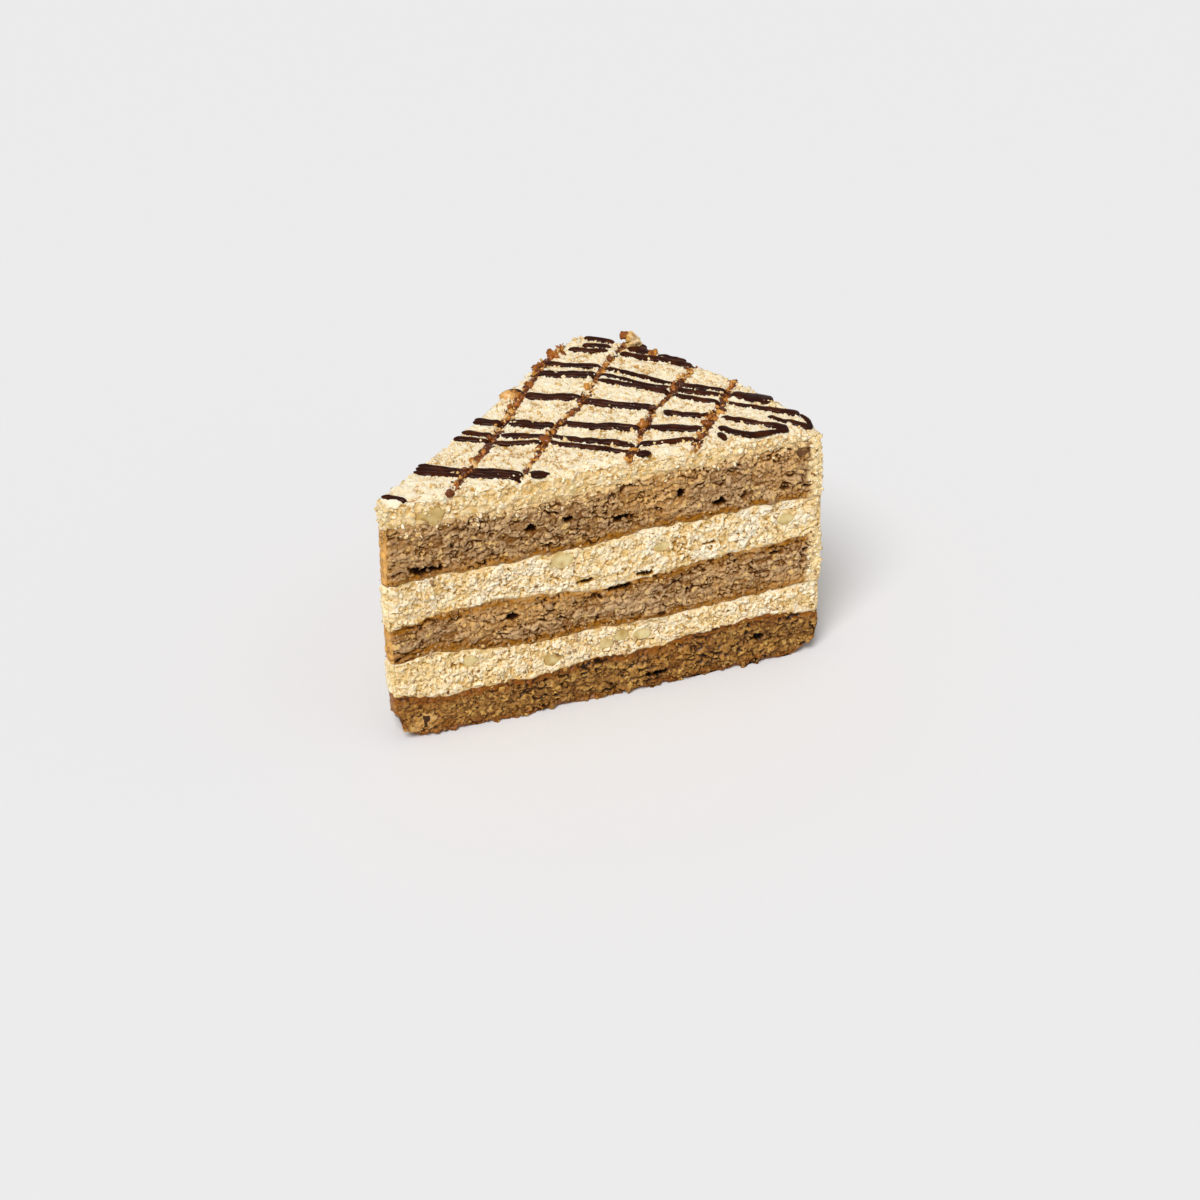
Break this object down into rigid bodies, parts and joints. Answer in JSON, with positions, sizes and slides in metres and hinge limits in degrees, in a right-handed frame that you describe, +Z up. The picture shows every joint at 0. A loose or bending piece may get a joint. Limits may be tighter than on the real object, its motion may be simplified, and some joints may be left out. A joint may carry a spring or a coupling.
{
  "type": "esterhazy torte slice",
  "caption": "Wedge slice of layered nut torte: brown nut sponges with pale nut cream between them and on top, scored, with a dark chocolate drizzle.",
  "frame": {"origin": "middle of the slice's bottom, on the surface it stands on", "axes": "+X along the slice's middle line from the blunt tip to the rim, +Y towards the back cut, +Z up"},
  "size_m": [0.1071, 0.0808, 0.0649],
  "materials": {
    "base_sponge": "matte",
    "nut_sponge": "matte",
    "nut_cream": "matte",
    "top_cream": "matte",
    "chocolate": "satin",
    "scored_crust": "matte",
    "nut_piece": "satin"
  },
  "bodies": {
    "root": {"base_sponge": "base_sponge", "lower_cream": "nut_cream", "middle_sponge": "nut_sponge", "upper_cream": "nut_cream", "top_sponge": "nut_sponge", "top_cream": "top_cream"}
  },
  "joints": []
}
